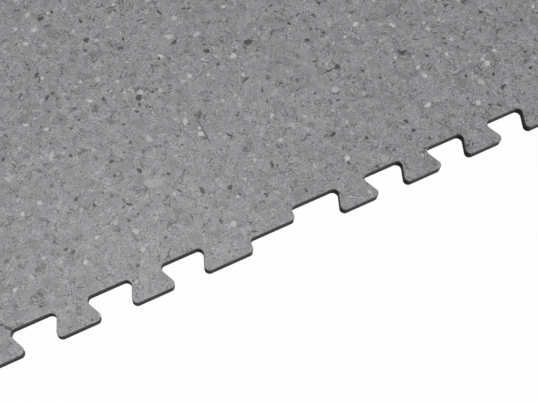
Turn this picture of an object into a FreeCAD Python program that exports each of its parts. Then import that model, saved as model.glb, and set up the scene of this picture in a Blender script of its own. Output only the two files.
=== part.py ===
"""Interlocking PVC floor tile, in millimetres.

A square tile whose four sides carry one and the same dovetailed edge. Each edge runs along the joint line, the
straight line midway between the tips and the roots of its teeth, and it looks the same after half a turn about its
middle. A side therefore mates with any side of a like tile. The tile is pressed from two sheets bonded for good: a
speckled wear layer on top and a darker backing under it.

The origin is the middle of the underside. +Z points up through the walked-on face, and the sides face -Y, +X, +Y, -X.
"""
import FreeCAD
import Part
import math
import os

# Plan of the tile.
joint_line_side = 635.0  # side of the square that the four joint lines make, so the spacing of laid tiles
backing_thickness = 4.0
wear_layer_thickness = 2.0

# The dovetailed edge.
tooth_pitch = 48.8  # from one tooth to the next along a side
tooth_depth = 17.1  # from a root to a tip
flank_angle = 22.5  # degrees between a flank and the square line to the side
tooth_corner_radius = 3.4  # on the joint itself, with no clearance
middle_land_length = 32.8  # straight stretch on the joint line at the middle of each side
land_flank_angle = -8.0  # degrees, on the half-height flanks that end the lands on the joint line
land_corner_radius = 3.0  # on the corners of those flanks
shortest_corner_land = 20.0  # least length left on the joint line at each corner of the tile
joint_clearance = 0.2  # between two laid tiles

SIDES = 4


def flank(position, angle_degrees, from_level, to_level):
    """Two corners of a flank that crosses the joint line at a position, from one level to another.

    Levels are measured outward from the joint line. A tooth widens outward by the flank angle on each side, so the
    sign of the lean follows which way the flank is walked: a flank walked outward leans back along the side.
    """
    walked_outward = to_level > from_level
    lean = math.tan(math.radians(angle_degrees)) * (-1.0 if walked_outward else 1.0)
    return [(position + level * lean, level) for level in (from_level, to_level)]


def right_half_corners():
    """Corners of one side from its middle to its right end, as (along, outward, radius), nominal joint."""
    tip = tooth_depth / 2
    root = -tooth_depth / 2
    half_pitch = tooth_pitch / 2
    reach = joint_line_side / 2 - shortest_corner_land
    last_flank = int(reach // half_pitch)

    flanks = [(middle_land_length / 2, land_flank_angle, land_corner_radius, 0.0, root)]
    level = root
    for number in range(2, last_flank):
        flanks.append((number * half_pitch, flank_angle, tooth_corner_radius, level, tip + root - level))
        level = tip + root - level
    flanks.append((last_flank * half_pitch, land_flank_angle, land_corner_radius, level, 0.0))
    return [
        (along, outward, radius)
        for position, angle, radius, from_level, to_level in flanks
        for along, outward in flank(position, angle, from_level, to_level)
    ]


def side_corners():
    """Corners of a whole side from its left end to its right: the right half, and its half turn to the left."""
    right = right_half_corners()
    left = [(-along, -outward, radius) for along, outward, radius in reversed(right)]
    return left + right


def tile_corners():
    """Corners of the whole outline, anticlockwise, with a square corner between each side and the next."""
    reach = joint_line_side / 2
    outline = []
    for side in range(SIDES):
        turn = math.radians(90.0 * side)
        for along, outward, radius in side_corners() + [(reach, 0.0, tooth_corner_radius)]:
            x, y = along, -reach - outward
            outline.append((
                x * math.cos(turn) - y * math.sin(turn),
                x * math.sin(turn) + y * math.cos(turn),
                radius,
            ))
    return outline


def unit(vector):
    """The vector at length one."""
    return FreeCAD.Vector(vector).normalize()


def inset(outline, distance):
    """The outline moved inward by a distance, its outer corners tighter and its inner corners wider by as much."""
    moved = []
    for index, (x, y, radius) in enumerate(outline):
        here = FreeCAD.Vector(x, y, 0)
        before = FreeCAD.Vector(*outline[index - 1][:2], 0)
        after = FreeCAD.Vector(*outline[(index + 1) % len(outline)][:2], 0)
        arriving, leaving = unit(here - before), unit(after - here)
        up = FreeCAD.Vector(0, 0, 1)
        normal_in, normal_out = up.cross(arriving), up.cross(leaving)
        shift = (normal_in + normal_out) * (distance / (1 + normal_in.dot(normal_out)))
        is_outer_corner = arriving.cross(leaving).z > 0
        moved.append((here + shift, radius - distance if is_outer_corner else radius + distance))
    return moved


def rounded_wire(corners):
    """A closed wire of straight runs and tangent arcs through (point, radius) corners."""
    arcs = []
    for index, (point, radius) in enumerate(corners):
        back = unit(corners[index - 1][0] - point)
        ahead = unit(corners[(index + 1) % len(corners)][0] - point)
        half_angle = back.getAngle(ahead) / 2
        tangent_length = radius / math.tan(half_angle)
        middle = point + unit(back + ahead) * (radius / math.sin(half_angle) - radius)
        arcs.append((point + back * tangent_length, middle, point + ahead * tangent_length))
    edges = []
    for index, (start, middle, end) in enumerate(arcs):
        edges.append(Part.LineSegment(arcs[index - 1][2], start).toShape())
        edges.append(Part.Arc(start, middle, end).toShape())
    return Part.Wire(edges)


def sheet(wire, bottom, thickness):
    """A flat sheet with the wire's outline."""
    face = Part.Face(wire)
    face.translate(FreeCAD.Vector(0, 0, bottom))
    return face.extrude(FreeCAD.Vector(0, 0, thickness))


def main():
    outline = rounded_wire(inset(tile_corners(), joint_clearance / 2))
    backing = sheet(outline, 0.0, backing_thickness)
    wear_layer = sheet(outline, backing_thickness, wear_layer_thickness)
    os.makedirs("parts", exist_ok=True)
    backing.exportStep("parts/backing.step")
    wear_layer.exportStep("parts/wear_layer.step")


main()
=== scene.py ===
import logging
import math
from dataclasses import dataclass, field
from enum import Enum

import bmesh
import bpy
from mathutils import Matrix, Vector


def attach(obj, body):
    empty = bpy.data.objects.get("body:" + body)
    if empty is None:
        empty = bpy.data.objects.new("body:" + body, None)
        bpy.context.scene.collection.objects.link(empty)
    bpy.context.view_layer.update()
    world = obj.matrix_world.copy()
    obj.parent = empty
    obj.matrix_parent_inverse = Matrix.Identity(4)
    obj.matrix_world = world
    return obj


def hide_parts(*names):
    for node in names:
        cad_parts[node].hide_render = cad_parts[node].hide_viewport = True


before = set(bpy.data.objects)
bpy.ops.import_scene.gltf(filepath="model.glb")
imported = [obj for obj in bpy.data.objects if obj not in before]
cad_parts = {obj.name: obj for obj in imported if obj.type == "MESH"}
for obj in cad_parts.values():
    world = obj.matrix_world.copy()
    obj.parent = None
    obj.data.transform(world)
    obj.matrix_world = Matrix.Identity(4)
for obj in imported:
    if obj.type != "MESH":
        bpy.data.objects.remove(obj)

LOG = logging.getLogger("floor_tile")
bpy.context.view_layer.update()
MM_PER_M = 1000.0
FULL_TURN = 2.0 * math.pi
PHOTO_WIDTH_PX = 538
SENSOR_WIDTH_MM = 36.0

# A cell's random number times one of these, less its whole part, is a further random number.
STRETCH_DRAW = 7.31
TONE_DRAW = 37.7
SIDE_DRAW = 11.3
SIDE_DRAW_STEP = 5.7

Colour = tuple[float, float, float, float]
Place = tuple[float, float, float]
WHITE: Colour = (1.0, 1.0, 1.0, 1.0)


class NodeKind(Enum):
    """The shader nodes that the finishes are made of."""

    OUTPUT = "ShaderNodeOutputMaterial"
    WORLD_OUTPUT = "ShaderNodeOutputWorld"
    PRINCIPLED = "ShaderNodeBsdfPrincipled"
    DIFFUSE = "ShaderNodeBsdfDiffuse"
    EMISSION = "ShaderNodeEmission"
    BACKGROUND = "ShaderNodeBackground"
    MIX_SHADER = "ShaderNodeMixShader"
    LIGHT_PATH = "ShaderNodeLightPath"
    COORDINATES = "ShaderNodeTexCoord"
    NOISE = "ShaderNodeTexNoise"
    VORONOI = "ShaderNodeTexVoronoi"
    MATH = "ShaderNodeMath"
    VECTOR_MATH = "ShaderNodeVectorMath"
    MAP_RANGE = "ShaderNodeMapRange"
    MIX = "ShaderNodeMix"
    ROTATE = "ShaderNodeVectorRotate"
    SEPARATE = "ShaderNodeSeparateXYZ"
    COMBINE = "ShaderNodeCombineXYZ"
    MAPPING = "ShaderNodeMapping"
    BUMP = "ShaderNodeBump"


class Value:
    """A node's output socket that takes part in arithmetic; each operator adds a Math node."""

    def __init__(self, graph: "Graph", socket: bpy.types.NodeSocket) -> None:
        """Wraps an output socket of a graph."""
        self.graph = graph
        self.socket = socket

    def _math(self, operation: str, *others: "Value | float") -> "Value":
        """Adds a Math node whose first input is this value.

        Args:
            operation: the Math node's operation.
            others: its other inputs, in order.

        Returns:
            The node's output.
        """
        inputs = dict(enumerate((self, *others)))
        return self.graph.add(NodeKind.MATH, {"operation": operation}, inputs).out(0)

    def __add__(self, other: "Value | float") -> "Value":
        """This value plus the other."""
        return self._math("ADD", other)

    __radd__ = __add__

    def __sub__(self, other: "Value | float") -> "Value":
        """This value less the other."""
        return self._math("SUBTRACT", other)

    def __rsub__(self, other: float) -> "Value":
        """A number less this value."""
        return self._math("MULTIPLY_ADD", -1.0, other)

    def __mul__(self, other: "Value | float") -> "Value":
        """This value times the other."""
        return self._math("MULTIPLY", other)

    __rmul__ = __mul__

    def __truediv__(self, other: "Value | float") -> "Value":
        """This value over the other."""
        return self._math("DIVIDE", other)

    def __pow__(self, other: float) -> "Value":
        """This value to a power."""
        return self._math("POWER", other)

    def __abs__(self) -> "Value":
        """This value without its sign."""
        return self._math("ABSOLUTE")

    def larger(self, other: "Value | float") -> "Value":
        """The larger of this value and the other."""
        return self._math("MAXIMUM", other)

    def smaller(self, other: "Value | float") -> "Value":
        """The smaller of this value and the other."""
        return self._math("MINIMUM", other)

    def below(self, limit: "Value | float") -> "Value":
        """1 where this value is under the limit, else 0."""
        return self._math("LESS_THAN", limit)

    def fraction(self) -> "Value":
        """What this value has after the decimal point."""
        return self._math("FRACT")

    def wave(self) -> "Value":
        """The sine of this value, in radians."""
        return self._math("SINE")

    def ramp(self, start: "Value | float", end: "Value | float") -> "Value":
        """A smooth change from 0 to 1 as this value goes from start to end.

        Args:
            start: where the change starts; may lie above end.
            end: where it ends.

        Returns:
            The result, held at 0 and 1 outside the range.
        """
        settings = {"interpolation_type": "SMOOTHSTEP", "clamp": True}
        sockets = {"Value": self, "From Min": start, "From Max": end}
        return self.graph.add(NodeKind.MAP_RANGE, settings, sockets).out("Result")

    def within(self, rim: "Value | float", edge: float) -> "Value":
        """1 where this value is inside a rim and 0 outside it, with a soft edge of a half width."""
        return self.ramp(rim + edge, rim - edge)


class Placed:
    """A node in a graph, whose outputs are read as values."""

    def __init__(self, graph: "Graph", node: bpy.types.Node) -> None:
        """Wraps a node of the graph."""
        self.graph = graph
        self.node = node

    def out(self, name: "str | int") -> Value:
        """An output by its name or number."""
        return Value(self.graph, self.node.outputs[name])


class Graph:
    """A node tree that finishes are written into."""

    def __init__(self, tree: bpy.types.NodeTree) -> None:
        """Empties a tree and writes into it."""
        self.tree = tree
        tree.nodes.clear()

    def add(
        self,
        kind: NodeKind,
        settings: "dict[str, object] | None" = None,
        sockets: "dict[str | int, object] | None" = None,
    ) -> Placed:
        """Adds a node.

        Args:
            kind: the node's type.
            settings: its own settings, which are set first.
            sockets: values or links for its input sockets, by name or number.

        Returns:
            The node.
        """
        node = self.tree.nodes.new(kind.value)
        for name, setting in (settings or {}).items():
            setattr(node, name, setting)
        for name, value in (sockets or {}).items():
            if isinstance(value, Value):
                self.tree.links.new(value.socket, node.inputs[name])
            else:
                node.inputs[name].default_value = value
        return Placed(self, node)

    def vector(self, operation: str, *values: "Value | Place", scale: "float | None" = None) -> Value:
        """Adds a Vector Math node.

        Args:
            operation: its operation.
            values: its vector inputs in order.
            scale: its Scale input, for the operation that has one.

        Returns:
            Its vector, or its number for the operation that gives a length.
        """
        sockets: "dict[str | int, object]" = dict(enumerate(values))
        if scale is not None:
            sockets["Scale"] = scale
        node = self.add(NodeKind.VECTOR_MATH, {"operation": operation}, sockets)
        return node.out("Value" if operation == "LENGTH" else "Vector")

    def joined(self, x: Value, y: Value, z: "Value | float" = 0.0) -> Value:
        """A vector or colour of three numbers."""
        return self.add(NodeKind.COMBINE, None, {0: x, 1: y, 2: z}).out(0)

    def parts(self, vector: Value) -> "tuple[Value, Value, Value]":
        """The three numbers of a vector or colour."""
        node = self.add(NodeKind.SEPARATE, None, {0: vector})
        return node.out(0), node.out(1), node.out(2)

    def blend(self, amount: "Value | float", first: "Value | float", second: "Value | float") -> Value:
        """A number that goes from first to second as the amount goes from 0 to 1."""
        return self.add(NodeKind.MIX, {"data_type": "FLOAT"}, {0: amount, 2: first, 3: second}).out(0)

    def tint(
        self, amount: "Value | float", first: "Value | Colour", second: "Value | Colour", way: str = "MIX"
    ) -> Value:
        """A colour mixed from two.

        Args:
            amount: how much of the second.
            first: a colour.
            second: a colour.
            way: the Mix node's blend type.

        Returns:
            The colour.
        """
        settings = {"data_type": "RGBA", "blend_type": way}
        return self.add(NodeKind.MIX, settings, {0: amount, 6: first, 7: second}).out(2)

    def here(self, rise: float = 0.0) -> Value:
        """The place on the object in millimetres.

        Args:
            rise: what heights are also multiplied by; nought reads a finish in the plane alone.

        Returns:
            The place.
        """
        place = self.add(NodeKind.COORDINATES).out("Object")
        return self.vector("MULTIPLY", place, (MM_PER_M, MM_PER_M, rise * MM_PER_M))

    def moved(self, place: Value, step: "tuple[float, float]", count: float = 1.0) -> Value:
        """A place some steps away, so that what is read there doesn't line up with other patterns."""
        return self.vector("ADD", place, (step[0] * count, step[1] * count, 0.0))

    def bent(self, place: Value, size: float, reach: float, rough: float = 0.5) -> Value:
        """A place pushed about at random, so that outlines read there are ragged.

        Args:
            place: the place before it is pushed.
            size: how wide the bends are.
            reach: how far a bend can push, each way.
            rough: weight of the finer bends.

        Returns:
            The place.
        """
        push = self.vector("SUBTRACT", self.noise(place, size, rough=rough).out("Color"), (0.5, 0.5, 0.5))
        return self.vector("ADD", place, self.vector("SCALE", push, scale=2.0 * reach))

    def spun(self, vector: Value, turns: Value) -> Value:
        """A vector turned in the plane by a part of a full turn."""
        sockets = {"Vector": vector, "Angle": turns * FULL_TURN}
        return self.add(NodeKind.ROTATE, {"rotation_type": "Z_AXIS"}, sockets).out("Vector")

    def cells(self, place: Value, per_unit: float = 1.0, randomness: float = 1.0) -> Placed:
        """A Voronoi Texture in the plane, whose cells have random numbers of their own.

        Args:
            place: where it is read.
            per_unit: cells to a unit of the place.
            randomness: from 0 for a square grid to 1.

        Returns:
            The node.
        """
        settings = {"voronoi_dimensions": "2D", "feature": "F1"}
        sockets = {"Vector": place, "Scale": per_unit, "Randomness": randomness}
        return self.add(NodeKind.VORONOI, settings, sockets)

    def noise(
        self,
        place: Value,
        size: float,
        detail: float = 2.0,
        rough: float = 0.5,
        swirl: float = 0.0,
        flat: bool = True,
    ) -> Placed:
        """A Noise Texture whose features are about a size across.

        Args:
            place: where it is read.
            size: the features' size, in the place's unit.
            detail: number of finer octaves.
            rough: weight of the finer octaves.
            swirl: the node's distortion.
            flat: whether it is read in the plane alone.

        Returns:
            The node.
        """
        settings = {"noise_dimensions": "2D" if flat else "3D"}
        sockets = {
            "Vector": place, "Scale": 1.0 / size, "Detail": detail, "Roughness": rough, "Distortion": swirl,
        }
        return self.add(NodeKind.NOISE, settings, sockets)

    def patches(self, place: Value, size: float, start: float, end: float) -> Value:
        """0 to 1 in soft patches of a size, from a noise that is spread out between two levels."""
        return self.noise(place, size, detail=3.0, rough=0.6).out(0).ramp(start, end)

    def plastic(
        self,
        colour: Value,
        roughness: "Value | float",
        specular: float,
        relief: Value,
        strength: float,
        depth_mm: float,
    ) -> None:
        """Ends a material's graph with a plastic shader.

        Args:
            colour: its colour.
            roughness: its roughness.
            specular: its Specular IOR Level.
            relief: height of its fine relief, from 0 to 1.
            strength: how much of the relief shows.
            depth_mm: what a height of 1 stands for.
        """
        bump = self.add(NodeKind.BUMP, None, {
            "Strength": strength, "Distance": depth_mm / MM_PER_M, "Height": relief})
        shader = self.add(NodeKind.PRINCIPLED, None, {
            "Base Color": colour, "Roughness": roughness, "Normal": bump.out("Normal"),
            "Specular IOR Level": specular})
        self.add(NodeKind.OUTPUT, None, {"Surface": shader.out("BSDF")})


class ChipShape(Enum):
    """How a chip is outlined."""

    ROUNDED = "rounded"
    ANGULAR = "angular"
    CURL = "curl"
    HAIRLINE = "hairline"


@dataclass(frozen=True)
class ChipLayer:
    """One sort of chip scattered over the sheet, one to a cell at most. Lengths are in millimetres.

    Tones are brightness as a screen shows it, from 0 to 1. The share is that of the cells which hold a chip.
    """

    shape: ChipShape
    spacing: float
    share: float
    smallest: float
    largest: float
    tone: float
    tone_spread: float
    stretch: float
    ragged: float
    ragged_size: float
    edge: float
    strength: float
    seed: float
    uneven: float = 0.9
    warm: bool = False
    sides: int = 5
    seed_step: "tuple[float, float]" = (17.31, -9.57)
    curl_start: float = -0.6
    hairline_taper: float = 0.8

    def mark(self, graph: Graph, plane: Value) -> "tuple[Value, Value]":
        """Writes the layer into a graph.

        Args:
            graph: the finish's graph.
            plane: the place in the sheet's plane, in millimetres.

        Returns:
            How much of the chip shows, from 0 to 1, and the chip's tone.
        """
        ragged = graph.bent(graph.moved(plane, self.seed_step, self.seed), self.ragged_size, self.ragged)
        cell = graph.vector("SCALE", ragged, scale=1.0 / self.spacing)
        own = graph.cells(cell)
        pick, grade, turn = graph.parts(own.out("Color"))
        away = graph.vector("SUBTRACT", cell, own.out("Position"))
        offset = graph.vector("SCALE", away, scale=self.spacing)
        along, across, _ = graph.parts(graph.spun(offset, turn))
        reach = grade * grade * (self.largest - self.smallest) + self.smallest
        showing = self.outline(graph, grade, reach, along, across)
        draw = (pick * (TONE_DRAW / self.share)).fraction()
        tone = draw * (2.0 * self.tone_spread) + (self.tone - self.tone_spread)
        return showing * pick.below(self.share) * self.strength, tone

    def outline(self, graph: Graph, grade: Value, reach: Value, along: Value, across: Value) -> Value:
        """How much of a chip of this layer's shape shows at a point.

        Args:
            graph: the finish's graph.
            grade: the chip's own random number.
            reach: its half size.
            along: the point's place along the chip.
            across: its place across the chip.

        Returns:
            A number from 0 to 1.
        """
        if self.shape is ChipShape.CURL:
            ring = abs(graph.vector("LENGTH", graph.joined(along, across)) - reach).ramp(self.edge, 0.0)
            return ring * (along / reach).ramp(self.curl_start, 0.0)
        if self.shape is ChipShape.HAIRLINE:
            line = abs(across).ramp(self.edge, 0.0)
            return line * abs(along).ramp(reach, reach * self.hairline_taper)
        lengthening = (grade * STRETCH_DRAW).fraction() * (self.stretch - 1.0) + 1.0
        along, across = along / lengthening, across * lengthening
        if self.shape is ChipShape.ROUNDED:
            return graph.vector("LENGTH", graph.joined(along, across)).within(reach, self.edge)
        return self.many_sided(grade, along, across).within(reach, self.edge)

    def many_sided(self, grade: Value, along: Value, across: Value) -> Value:
        """How far out a point lies in a chip whose straight sides stand at uneven distances.

        Args:
            grade: the chip's own random number.
            along: the point's place along the chip.
            across: its place across the chip.

        Returns:
            The distance, which equals the chip's reach on its sides.
        """
        distance: "Value | None" = None
        for side in range(self.sides):
            turn = FULL_TURN * side / self.sides
            outward = along * math.cos(turn) + across * math.sin(turn)
            draw = (grade * (SIDE_DRAW + SIDE_DRAW_STEP * side)).fraction()
            scaled = outward / (draw * self.uneven + (1.0 - self.uneven / 2.0))
            distance = scaled if distance is None else distance.larger(scaled)
        return distance


@dataclass(frozen=True)
class PlacedChip:
    """A large chip at a place of its own. Lengths are in millimetres, and the turn is in degrees."""

    along: float
    inward: float
    half_length: float
    half_width: float
    turn: float = 0.0

    def distance(self, graph: Graph, plane: Value, joint_line: float) -> Value:
        """How far out a point lies from the chip's middle; 1 on its rim.

        Args:
            graph: the finish's graph.
            plane: the place in the sheet's plane, in millimetres.
            joint_line: the front joint line's place along y.

        Returns:
            The distance.
        """
        own = graph.add(NodeKind.MAPPING, {"vector_type": "TEXTURE"}, {
            "Vector": plane,
            "Location": (self.along, joint_line + self.inward, 0.0),
            "Rotation": (0.0, 0.0, math.radians(self.turn)),
            "Scale": (self.half_length, self.half_width, 1.0),
        })
        return graph.vector("LENGTH", own.out("Vector"))


@dataclass(frozen=True)
class PlacedChips:
    """A few large chips of one tone behind the front side's middle. Lengths are in millimetres."""

    tone: float
    strength: float
    chips: "tuple[PlacedChip, ...]"
    edge: float = 0.16
    ragged: float = 0.9
    ragged_size: float = 2.2
    joint_line: float = -317.5

    def mark(self, graph: Graph, plane: Value) -> Value:
        """Writes the chips into a graph.

        Args:
            graph: the finish's graph.
            plane: the place in the sheet's plane, in millimetres.

        Returns:
            How much of them shows, from 0 to 1.
        """
        ragged = graph.bent(plane, self.ragged_size, self.ragged)
        nearest: "Value | None" = None
        for chip in self.chips:
            distance = chip.distance(graph, ragged, self.joint_line)
            nearest = distance if nearest is None else nearest.smaller(distance)
        return nearest.within(1.0, self.edge) * self.strength


@dataclass(frozen=True)
class GrainedChips:
    """Chips pressed edge to edge, each with fine marbled lines that run its own way.

    Lengths are in millimetres.
    """

    chip_size: float
    grain_size: float
    lines: float
    line_tones: float
    tone_spread: float
    ragged: float
    seed: float
    seed_step: "tuple[float, float]" = (13.7, 7.9)
    ragged_share: float = 0.6
    grain_squeeze: float = 0.55
    scatter: float = 90.0

    def tone(self, graph: Graph, plane: Value) -> Value:
        """Writes the chips into a graph.

        Args:
            graph: the finish's graph.
            plane: the place in the sheet's plane, in millimetres.

        Returns:
            The tone that they add, about nought.
        """
        place = graph.moved(plane, self.seed_step, self.seed)
        ragged = graph.bent(place, self.chip_size * self.ragged_share, self.ragged, rough=0.6)
        own = graph.cells(ragged, 1.0 / self.chip_size).out("Color")
        grade, turn, depth = graph.parts(own)
        longer = graph.vector("MULTIPLY", graph.spun(place, turn), (self.grain_squeeze, 1.0, 1.0))
        apart = graph.vector("ADD", longer, graph.vector("SCALE", own, scale=self.scatter))
        grain = graph.noise(apart, self.grain_size, detail=1.0, rough=0.35, swirl=0.4).out(0)
        lines = (grain * (FULL_TURN * self.lines)).wave()
        return lines * (depth * self.line_tones) + (grade - 0.5) * self.tone_spread


@dataclass(frozen=True)
class Threads:
    """Fine winding threads, lighter or darker than the ground, in broken lengths.

    Lengths are in millimetres.
    """

    wind: float
    half_width: float
    length: float
    share: float
    tone: float
    seed: float
    seed_step: "tuple[float, float]" = (-23.1, 31.7)
    breaks_step: "tuple[float, float]" = (71.3, -37.9)
    slope: float = 1.4
    breaks: "tuple[float, float]" = (0.6, 0.72)
    breaks_per_share: float = 0.2

    def tone_added(self, graph: Graph, plane: Value) -> Value:
        """Writes the threads into a graph.

        Args:
            graph: the finish's graph.
            plane: the place in the sheet's plane, in millimetres.

        Returns:
            The tone that they add.
        """
        place = graph.moved(plane, self.seed_step, self.seed)
        crossing = abs(graph.noise(place, self.wind, detail=1.5, swirl=0.4).out(0) - 0.5)
        line = crossing.ramp(self.half_width * self.slope / self.wind, 0.0)
        broken = graph.noise(graph.moved(place, self.breaks_step), self.length, detail=1.0).out(0)
        start, end = (level - self.breaks_per_share * self.share for level in self.breaks)
        return line * broken.ramp(start, end) * self.tone


@dataclass(frozen=True)
class ColourCast:
    """A faint change of a grey's colour between two sorts of patch. Lengths are in millimetres."""

    patch_size: float
    first: Colour
    second: Colour
    offset: "tuple[float, float]" = (0.0, 0.0)
    levels: "tuple[float, float]" = (0.36, 0.64)

    def over(self, graph: Graph, plane: Value, grey: Value) -> Value:
        """A grey with this cast.

        Args:
            graph: the finish's graph.
            plane: the place in the sheet's plane, in millimetres.
            grey: the colour that is cast.

        Returns:
            The colour.
        """
        patch = graph.patches(graph.moved(plane, self.offset), self.patch_size, *self.levels)
        return graph.tint(1.0, grey, graph.tint(patch, self.first, self.second), "MULTIPLY")


@dataclass(frozen=True)
class SpeckledFace:
    """The wear layer's walked-on face: pressed grey chips, with charcoal and pale specks among them.

    Lengths are in millimetres.
    """

    ground: float = 0.525
    pressed: "tuple[GrainedChips, ...]" = (
        GrainedChips(chip_size=8.0, grain_size=5.0, lines=7.0, line_tones=0.07, tone_spread=0.035,
                     ragged=2.0, seed=1.0),
        GrainedChips(chip_size=3.6, grain_size=3.0, lines=4.0, line_tones=0.06, tone_spread=0.04,
                     ragged=1.2, seed=2.0),
    )
    threads: "tuple[Threads, ...]" = (
        Threads(wind=8.0, half_width=0.17, length=8.0, share=0.5, tone=0.11, seed=1.0),
        Threads(wind=4.5, half_width=0.15, length=6.0, share=0.4, tone=0.11, seed=2.0),
        Threads(wind=8.0, half_width=0.14, length=8.0, share=0.45, tone=-0.225, seed=3.0),
        Threads(wind=4.5, half_width=0.12, length=5.0, share=0.3, tone=-0.225, seed=4.0),
        Threads(wind=14.0, half_width=0.13, length=12.0, share=0.5, tone=-0.225, seed=5.0),
    )
    grey_flakes: ChipLayer = ChipLayer(
        ChipShape.ANGULAR, spacing=13.0, share=0.55, smallest=1.5, largest=3.8, tone=0.46, tone_spread=0.03,
        stretch=1.8, ragged=1.2, ragged_size=4.0, edge=0.4, strength=0.67, seed=12.0)
    light_flakes: ChipLayer = ChipLayer(
        ChipShape.ROUNDED, spacing=22.0, share=0.35, smallest=2.0, largest=5.0, tone=0.565, tone_spread=0.02,
        stretch=1.7, ragged=1.0, ragged_size=5.0, edge=0.5, strength=0.7, seed=2.0)
    curls: ChipLayer = ChipLayer(
        ChipShape.CURL, spacing=9.5, share=0.5, smallest=1.0, largest=2.0, tone=0.31, tone_spread=0.05,
        stretch=1.0, ragged=1.6, ragged_size=3.5, edge=0.35, strength=0.85, seed=5.0)
    grey_specks: ChipLayer = ChipLayer(
        ChipShape.ANGULAR, spacing=7.0, share=0.35, smallest=0.4, largest=1.3, tone=0.38, tone_spread=0.05,
        stretch=1.8, ragged=0.9, ragged_size=1.8, edge=0.25, strength=0.76, seed=6.0)
    charcoal_specks: ChipLayer = ChipLayer(
        ChipShape.ANGULAR, spacing=8.0, share=0.26, smallest=0.4, largest=1.3, tone=0.22, tone_spread=0.08,
        stretch=1.6, ragged=0.8, ragged_size=2.0, edge=0.2, strength=0.96, seed=7.0)
    charcoal_chips: ChipLayer = ChipLayer(
        ChipShape.ANGULAR, spacing=16.0, share=0.16, smallest=1.1, largest=1.7, tone=0.18, tone_spread=0.04,
        stretch=1.7, ragged=0.9, ragged_size=2.4, edge=0.22, strength=0.97, seed=10.0)
    pale_chips: ChipLayer = ChipLayer(
        ChipShape.ANGULAR, spacing=11.5, share=0.185, smallest=1.0, largest=2.0, tone=0.705, tone_spread=0.05,
        stretch=1.3, ragged=0.6, ragged_size=2.0, edge=0.28, strength=0.96, seed=8.0, uneven=0.5, warm=True)
    hairlines: ChipLayer = ChipLayer(
        ChipShape.HAIRLINE, spacing=75.0, share=0.6, smallest=5.0, largest=11.0, tone=0.3, tone_spread=0.04,
        stretch=1.0, ragged=0.4, ragged_size=6.0, edge=0.35, strength=0.8, seed=9.0)
    landmarks: "tuple[PlacedChips, ...]" = (
        PlacedChips(tone=0.615, strength=0.9, edge=0.1, chips=(
            PlacedChip(along=-55.6, inward=62.5, half_length=6.2, half_width=3.4, turn=-25.0),
        )),
        PlacedChips(tone=0.36, strength=0.75, chips=(
            PlacedChip(along=-127.5, inward=67.5, half_length=3.9, half_width=1.4, turn=-40.0),
        )),
        PlacedChips(tone=0.24, strength=0.92, ragged=0.15, chips=(
            PlacedChip(along=-9.1, inward=84.3, half_length=12.5, half_width=0.42, turn=90.0),
        )),
        PlacedChips(tone=0.18, strength=0.96, ragged=1.4, ragged_size=2.6, chips=(
            PlacedChip(along=50.0, inward=135.3, half_length=3.6, half_width=2.3),
            PlacedChip(along=145.8, inward=82.0, half_length=3.1, half_width=1.9),
            PlacedChip(along=97.3, inward=90.8, half_length=2.4, half_width=2.2),
            PlacedChip(along=91.0, inward=90.4, half_length=3.8, half_width=0.8),
            PlacedChip(along=-37.8, inward=125.2, half_length=2.7, half_width=2.2, turn=45.0),
            PlacedChip(along=-51.7, inward=183.3, half_length=2.4, half_width=2.1),
            PlacedChip(along=-73.7, inward=213.0, half_length=2.4, half_width=2.0),
        )),
        PlacedChips(tone=0.7, strength=0.9, chips=(
            PlacedChip(along=-106.9, inward=108.5, half_length=3.8, half_width=1.4, turn=55.0),
            PlacedChip(along=-17.2, inward=95.4, half_length=3.0, half_width=1.6, turn=65.0),
            PlacedChip(along=86.9, inward=75.0, half_length=2.4, half_width=2.1),
            PlacedChip(along=20.0, inward=156.1, half_length=3.0, half_width=1.5),
        )),
    )
    fine_size: float = 0.9
    fine_tones: float = 0.4
    cloud_size: float = 45.0
    cloud_tones: float = 0.04
    screen_gamma: float = 2.2
    pink_to_green: ColourCast = ColourCast(
        patch_size=7.0, first=(1.014, 0.972, 1.034, 1.0), second=(0.984, 0.996, 1.02, 1.0))
    warm_to_cool: ColourCast = ColourCast(
        patch_size=9.0, first=(1.012, 1.0, 0.985, 1.0), second=(0.986, 1.0, 1.018, 1.0), offset=(37.0, -53.0))
    pale_cast: Colour = (1.01, 0.995, 0.985, 1.0)
    roughness: float = 0.45
    roughness_spread: float = 0.06
    roughness_size: float = 9.0
    specular: float = 0.5
    relief_size: float = 0.9
    relief_strength: float = 0.25
    relief_depth: float = 0.1

    def layers(self) -> "list[ChipLayer]":
        """The scattered chips, from the lowest to the topmost."""
        return [self.grey_flakes, self.light_flakes, self.curls, self.grey_specks, self.charcoal_specks,
                self.charcoal_chips, self.pale_chips, self.hairlines]

    def material(self) -> bpy.types.Material:
        """Builds the finish.

        Returns:
            The material.
        """
        made = new_material("speckled_face")
        graph = Graph(made.node_tree)
        plane = graph.here()
        tone = self.pressed_ground(graph, plane)
        warmth: "Value | None" = None
        for layer in self.layers():
            showing, chip = layer.mark(graph, plane)
            tone = graph.blend(showing, tone, chip)
            if layer.warm:
                warmth = showing
        for group in self.landmarks:
            tone = graph.blend(group.mark(graph, plane), tone, group.tone)
        colour = self.coloured(graph, plane, tone, warmth)
        worn = graph.noise(plane, self.roughness_size, detail=3.0).out(0)
        roughness = worn * (2.0 * self.roughness_spread) + (self.roughness - self.roughness_spread)
        relief = graph.noise(plane, self.relief_size, detail=3.0, rough=0.6).out(0)
        graph.plastic(colour, roughness, self.specular, relief, self.relief_strength, self.relief_depth)
        return made

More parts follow.
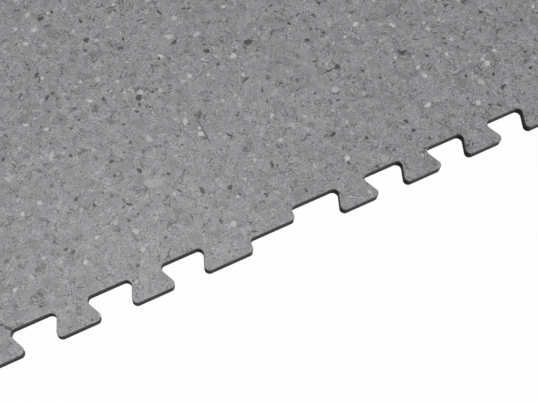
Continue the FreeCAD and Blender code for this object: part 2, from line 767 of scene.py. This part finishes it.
    def pressed_ground(self, graph: Graph, plane: Value) -> Value:
        """The run of small grey chips that everything else lies in.

        Args:
            graph: the finish's graph.
            plane: the place in the sheet's plane.

        Returns:
            Its tone.
        """
        tone: "Value | float" = self.ground
        for chips in self.pressed:
            tone = chips.tone(graph, plane) + tone
        for threads in self.threads:
            tone = threads.tone_added(graph, plane) + tone
        fine = graph.noise(plane, self.fine_size, rough=0.7).out(0) - 0.5
        cloud = graph.noise(plane, self.cloud_size, detail=3.0).out(0) - 0.5
        return tone + fine * self.fine_tones + cloud * self.cloud_tones

    def coloured(self, graph: Graph, plane: Value, tone: Value, warmth: Value) -> Value:
        """The tone as a colour: faintly pink, green, warm or cool in patches, and warm in the pale chips.

        Args:
            graph: the finish's graph.
            plane: the place in the sheet's plane.
            tone: brightness as a screen shows it.
            warmth: where the pale chips are.

        Returns:
            The colour.
        """
        light = tone ** self.screen_gamma
        grey = graph.joined(light, light, light)
        cast = self.warm_to_cool.over(graph, plane, self.pink_to_green.over(graph, plane, grey))
        return graph.tint(warmth, cast, graph.tint(1.0, grey, self.pale_cast, "MULTIPLY"))


@dataclass(frozen=True)
class CutEdge:
    """The side of a sheet where it was cut through: plain, with faint level drag lines.

    Lengths are in millimetres.
    """

    name: str
    colour: Colour
    contrast: float = 0.25
    roughness: float = 0.55
    specular: float = 0.01
    grain_size: float = 2.2
    grain_rise: float = 6.0
    grain_levels: "tuple[float, float]" = (0.3, 0.7)
    relief_strength: float = 0.3
    relief_depth: float = 0.2

    def shade(self, factor: float) -> Colour:
        """The edge's colour times a factor."""
        return tuple(min(1.0, part * factor) for part in self.colour[:3]) + (1.0,)

    def material(self) -> bpy.types.Material:
        """Builds the finish.

        Returns:
            The material.
        """
        made = new_material(self.name)
        graph = Graph(made.node_tree)
        layered = graph.here(self.grain_rise)
        grain = graph.noise(layered, self.grain_size, detail=4.0, rough=0.6, flat=False).out(0)
        darker, lighter = self.shade(1.0 - self.contrast), self.shade(1.0 + self.contrast)
        colour = graph.tint(grain.ramp(*self.grain_levels), darker, lighter)
        graph.plastic(colour, self.roughness, self.specular, grain, self.relief_strength, self.relief_depth)
        return made


@dataclass(frozen=True)
class Underside:
    """The backing's lower face: mottled charcoal PVC with a light moulded grain.

    Lengths are in millimetres.
    """

    dark: Colour = (0.045, 0.046, 0.05, 1.0)
    light: Colour = (0.1, 0.1, 0.105, 1.0)
    mottle_size: float = 1.5
    mottle_levels: "tuple[float, float]" = (0.35, 0.75)
    grain_spacing: float = 1.25
    grain_randomness: float = 0.35
    roughness: float = 0.6
    specular: float = 0.3
    relief_strength: float = 0.5
    relief_depth: float = 0.2

    def material(self) -> bpy.types.Material:
        """Builds the finish.

        Returns:
            The material.
        """
        made = new_material("moulded_underside")
        graph = Graph(made.node_tree)
        plane = graph.here()
        mottle = graph.noise(plane, self.mottle_size, detail=4.0, rough=0.65).out(0).ramp(*self.mottle_levels)
        colour = graph.tint(mottle, self.dark, self.light)
        grain = graph.cells(plane, 1.0 / self.grain_spacing, self.grain_randomness).out("Distance")
        graph.plastic(colour, self.roughness, self.specular, grain, self.relief_strength, self.relief_depth)
        return made


def new_material(name: str) -> bpy.types.Material:
    """Makes a node material.

    Args:
        name: its name.

    Returns:
        The material.
    """
    made = bpy.data.materials.new(name)
    made.use_nodes = True
    return made


def placed_in_scene(name: str, data: bpy.types.ID) -> bpy.types.Object:
    """Puts an object into the scene.

    Args:
        name: its name.
        data: its mesh, light or camera.

    Returns:
        The object.
    """
    piece = bpy.data.objects.new(name, data)
    bpy.context.scene.collection.objects.link(piece)
    return piece


@dataclass(frozen=True)
class Corner:
    """A corner of an outline, in millimetres, with the radius that rounds it."""

    along: float
    outward: float
    radius: float

    def point(self) -> Vector:
        """The corner as a plain vector."""
        return Vector((self.along, self.outward))


@dataclass(frozen=True)
class DovetailedOutline:
    """The tile's outline in plan, in millimetres and degrees, as the solids have it."""

    joint_line_side: float = 635.0
    tooth_pitch: float = 48.8
    tooth_depth: float = 17.1
    flank_angle: float = 22.5
    tooth_corner_radius: float = 3.4
    middle_land_length: float = 32.8
    land_flank_angle: float = -8.0
    land_corner_radius: float = 3.0
    shortest_corner_land: float = 20.0
    joint_clearance: float = 0.2
    arc_steps: int = 9

    def flank(self, place: float, angle: float, start: float, end: float) -> "list[tuple[float, float]]":
        """Two corners of a flank that crosses the joint line.

        Args:
            place: where it crosses, along the side.
            angle: its lean in degrees.
            start: level of its first corner, outward from the joint line.
            end: level of its second.

        Returns:
            The corners as (along, outward).
        """
        lean = math.tan(math.radians(angle)) * (-1.0 if end > start else 1.0)
        return [(place + level * lean, level) for level in (start, end)]

    def right_half(self) -> "list[Corner]":
        """One side from its middle to its right end.

        Returns:
            Its corners, outward from the joint line.
        """
        tip = self.tooth_depth / 2
        step = self.tooth_pitch / 2
        last = int((self.joint_line_side / 2 - self.shortest_corner_land) // step)
        runs = [(self.middle_land_length / 2, self.land_flank_angle, self.land_corner_radius, 0.0, -tip)]
        level = -tip
        for number in range(2, last):
            runs.append((number * step, self.flank_angle, self.tooth_corner_radius, level, -level))
            level = -level
        runs.append((last * step, self.land_flank_angle, self.land_corner_radius, level, 0.0))
        return [Corner(along, outward, radius) for place, angle, radius, start, end in runs
                for along, outward in self.flank(place, angle, start, end)]

    def corners(self) -> "list[Corner]":
        """The whole outline, on the joint line's own side of the clearance.

        Returns:
            Its corners, anticlockwise, as plain x and y.
        """
        right = self.right_half()
        left = [Corner(-one.along, -one.outward, one.radius) for one in reversed(right)]
        reach = self.joint_line_side / 2
        side = left + right + [Corner(reach, 0.0, self.tooth_corner_radius)]
        found = []
        for quarter in range(4):
            turn = Matrix.Rotation(math.radians(90.0 * quarter), 2)
            for one in side:
                x, y = turn @ Vector((one.along, -reach - one.outward))
                found.append(Corner(x, y, one.radius))
        return found

    def moved_in(self, inward: float) -> "list[tuple[Vector, float]]":
        """The outline's corners with every side moved inward.

        Args:
            inward: how far each side moves.

        Returns:
            Each corner's place and radius.
        """
        nominal = self.corners()
        moved = []
        for index, one in enumerate(nominal):
            here = one.point()
            arriving = (here - nominal[index - 1].point()).normalized()
            leaving = (nominal[(index + 1) % len(nominal)].point() - here).normalized()
            normals = [Vector((-way.y, way.x)) for way in (arriving, leaving)]
            shift = (normals[0] + normals[1]) * (inward / (1 + normals[0].dot(normals[1])))
            outer = arriving.x * leaving.y - arriving.y * leaving.x > 0
            moved.append((here + shift, one.radius + (-inward if outer else inward)))
        return moved

    def ring(self, inset: float) -> "list[Vector]":
        """Points round the outline, with its corners rounded.

        Args:
            inset: how far inside the solids' own outline it lies.

        Returns:
            Points in metres, as many and in the same order for every inset.
        """
        corners = self.moved_in(self.joint_clearance / 2 + inset)
        points = []
        for index, (here, radius) in enumerate(corners):
            back = (corners[index - 1][0] - here).normalized()
            ahead = (corners[(index + 1) % len(corners)][0] - here).normalized()
            half = back.angle(ahead) / 2
            centre = here + (back + ahead).normalized() * (radius / math.sin(half))
            first = here + back * (radius / math.tan(half)) - centre
            last = here + ahead * (radius / math.tan(half)) - centre
            sweep = first.angle_signed(last)
            for step in range(self.arc_steps + 1):
                spoke = first.copy()
                spoke.rotate(Matrix.Rotation(-sweep * step / self.arc_steps, 2))
                points.append((centre + spoke) / MM_PER_M)
        return points


@dataclass(frozen=True)
class Sheet:
    """One of the tile's two bonded sheets. Lengths are in millimetres."""

    node: str
    slot: str
    bottom: float
    top: float
    lower_arris: float
    upper_arris: float
    outline: DovetailedOutline = field(default_factory=DovetailedOutline)
    arris_steps: int = 3
    same_place: float = 1e-6

    def levels(self) -> "list[tuple[float, float]]":
        """The rings of the sheet's wall, from the bottom up, with a quarter round at each softened edge.

        Returns:
            The inset and height of each.
        """
        turns = [math.pi / 2 * step / self.arris_steps for step in range(self.arris_steps + 1)]
        low, high = self.lower_arris, self.upper_arris
        rising = [(low * (1 - math.sin(turn)), self.bottom + low * (1 - math.cos(turn))) for turn in turns]
        rising += [(high * (1 - math.cos(turn)), self.top - high * (1 - math.sin(turn))) for turn in turns]
        unique = rising[:1]
        for level in rising[1:]:
            if math.dist(level, unique[-1]) > self.same_place:
                unique.append(level)
        return unique

    def build(self, face: bpy.types.Material, edge: bpy.types.Material) -> bpy.types.Object:
        """Makes the sheet's mesh and dresses it.

        Args:
            face: finish of its broad faces.
            edge: finish of its cut side.

        Returns:
            The piece.
        """
        shape = bmesh.new()
        rings = [
            [shape.verts.new((point.x, point.y, height / MM_PER_M)) for point in self.outline.ring(inset)]
            for inset, height in self.levels()
        ]
        for lower, upper in zip(rings, rings[1:]):
            for index in range(len(lower)):
                following = (index + 1) % len(lower)
                wall = shape.faces.new((lower[index], lower[following], upper[following], upper[index]))
                wall.material_index = 1
                wall.smooth = True
        for broad in (shape.faces.new(list(reversed(rings[0]))), shape.faces.new(rings[-1])):
            for rim in broad.edges:
                rim.smooth = False
        shape.normal_update()
        mesh = bpy.data.meshes.new(self.node)
        shape.to_mesh(mesh)
        shape.free()
        mesh.materials.append(face)
        mesh.materials.append(edge)
        piece = placed_in_scene(f"{self.node}_sheet", mesh)
        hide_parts(self.node)
        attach(piece, "root")
        return piece


@dataclass(frozen=True)
class FloorTile:
    """The whole tile: a speckled wear layer bonded on a charcoal backing."""

    backing: Sheet = Sheet(
        "backing", "backing_pvc", bottom=0.0, top=4.0, lower_arris=0.25, upper_arris=0.0)
    wear_layer: Sheet = Sheet(
        "wear_layer", "speckled_pvc", bottom=4.0, top=6.0, lower_arris=0.0, upper_arris=0.25)
    backing_edge: CutEdge = CutEdge("backing_cut_edge", (0.089, 0.091, 0.098, 1.0))
    wear_layer_edge: CutEdge = CutEdge("wear_layer_cut_edge", (0.15, 0.152, 0.162, 1.0))

    def build(self) -> "list[bpy.types.Object]":
        """Makes both sheets.

        Returns:
            The pieces.
        """
        return [
            self.backing.build(Underside().material(), self.backing_edge.material()),
            self.wear_layer.build(SpeckledFace().material(), self.wear_layer_edge.material()),
        ]


@dataclass(frozen=True)
class SoftBox:
    """A square area lamp. Lengths are in metres."""

    name: str
    place: Place
    target: Place
    side: float
    watts: float

    def build(self) -> None:
        """Hangs the lamp in its place and turns it to its target."""
        lamp = bpy.data.lights.new(self.name, "AREA")
        lamp.size = self.side
        lamp.energy = self.watts
        holder = placed_in_scene(self.name, lamp)
        holder.location = self.place
        holder.rotation_euler = (Vector(self.target) - Vector(self.place)).to_track_quat("-Z", "Y").to_euler()


@dataclass(frozen=True)
class Studio:
    """A pale floor under soft light, and the camera. Lengths are in metres."""

    camera_place: Place = (-0.14643, -0.51597, 0.55345)
    camera_right: Place = (0.887669, -0.455505, 0.067524)
    camera_down: Place = (-0.385798, -0.815719, -0.431001)
    focal_px: float = 940.78
    nearest: float = 0.01
    floor_side: float = 12.0
    floor_drop: float = 0.0001
    floor_white: float = 0.99
    floor_grey: Colour = (0.2, 0.2, 0.2, 1.0)
    sky_strength: float = 0.12
    front_lamp: SoftBox = SoftBox(
        "front_soft_box", place=(2.25, -3.2, 3.3), target=(0.0, -0.2, 0.0), side=3.4, watts=113.5)
    rear_lamp: SoftBox = SoftBox(
        "rear_soft_box", place=(0.03, 0.16, 1.9), target=(-0.05, -0.3, 0.0), side=0.6, watts=17.6)

    def build(self) -> None:
        """Sets up the floor, the lights, the world and the camera."""
        self.floor()
        self.world()
        self.front_lamp.build()
        self.rear_lamp.build()
        self.camera()
        bpy.context.scene.view_settings.view_transform = "Standard"

    def floor(self) -> None:
        """A wide pale floor that shows white to the camera and keeps a faint shadow."""
        half = self.floor_side / 2
        mesh = bpy.data.meshes.new("studio_floor")
        corners = [(-half, -half), (half, -half), (half, half), (-half, half)]
        mesh.from_pydata([(x, y, -self.floor_drop) for x, y in corners], [], [(0, 1, 2, 3)])
        made = new_material("pale_floor")
        graph = Graph(made.node_tree)
        amount = self.seen(graph) * self.floor_white
        plain = graph.add(NodeKind.DIFFUSE, None, {"Color": self.floor_grey})
        white = graph.add(NodeKind.EMISSION, None, {"Color": WHITE, "Strength": 1.0})
        mixed = graph.add(NodeKind.MIX_SHADER, None, {
            0: amount, 1: plain.out("BSDF"), 2: white.out("Emission")})
        graph.add(NodeKind.OUTPUT, None, {"Surface": mixed.out("Shader")})
        mesh.materials.append(made)
        piece = placed_in_scene("studio_floor", mesh)

    def seen(self, graph: Graph) -> Value:
        """What the camera sees, straight, mirrored or through a clear piece.

        Args:
            graph: the graph of what may be seen.

        Returns:
            1 where it is seen so, else 0.
        """
        path = graph.add(NodeKind.LIGHT_PATH)
        straight_or_mirrored = path.out("Is Camera Ray").larger(path.out("Is Glossy Ray"))
        return straight_or_mirrored.larger(path.out("Is Transmission Ray"))

    def world(self) -> None:
        """A dim even sky that shows white to the camera."""
        sky = bpy.data.worlds.new("studio")
        sky.use_nodes = True
        bpy.context.scene.world = sky
        graph = Graph(sky.node_tree)
        dim = graph.add(NodeKind.BACKGROUND, None, {"Color": WHITE, "Strength": self.sky_strength})
        white = graph.add(NodeKind.BACKGROUND, None, {"Color": WHITE, "Strength": 1.0})
        mixed = graph.add(NodeKind.MIX_SHADER, None, {0: self.seen(graph), 1: dim.out(0), 2: white.out(0)})
        graph.add(NodeKind.WORLD_OUTPUT, None, {"Surface": mixed.out("Shader")})

    def camera(self) -> None:
        """The camera where the photograph was taken from."""
        lens = bpy.data.cameras.new("camera")
        lens.sensor_width = SENSOR_WIDTH_MM
        lens.lens = self.focal_px * SENSOR_WIDTH_MM / PHOTO_WIDTH_PX
        lens.clip_start = self.nearest
        right, down = Vector(self.camera_right), Vector(self.camera_down)
        facing = Matrix((right, -down, -right.cross(down))).transposed().to_4x4()
        holder = placed_in_scene("camera", lens)
        holder.matrix_world = Matrix.Translation(self.camera_place) @ facing
        bpy.context.scene.camera = holder


def main() -> None:
    """Builds the tile and the studio."""
    logging.basicConfig(level=logging.INFO)
    for piece in FloorTile().build():
        LOG.info("%s: %d faces", piece.name, len(piece.data.polygons))
    Studio().build()


if __name__ == "__main__":
    main()
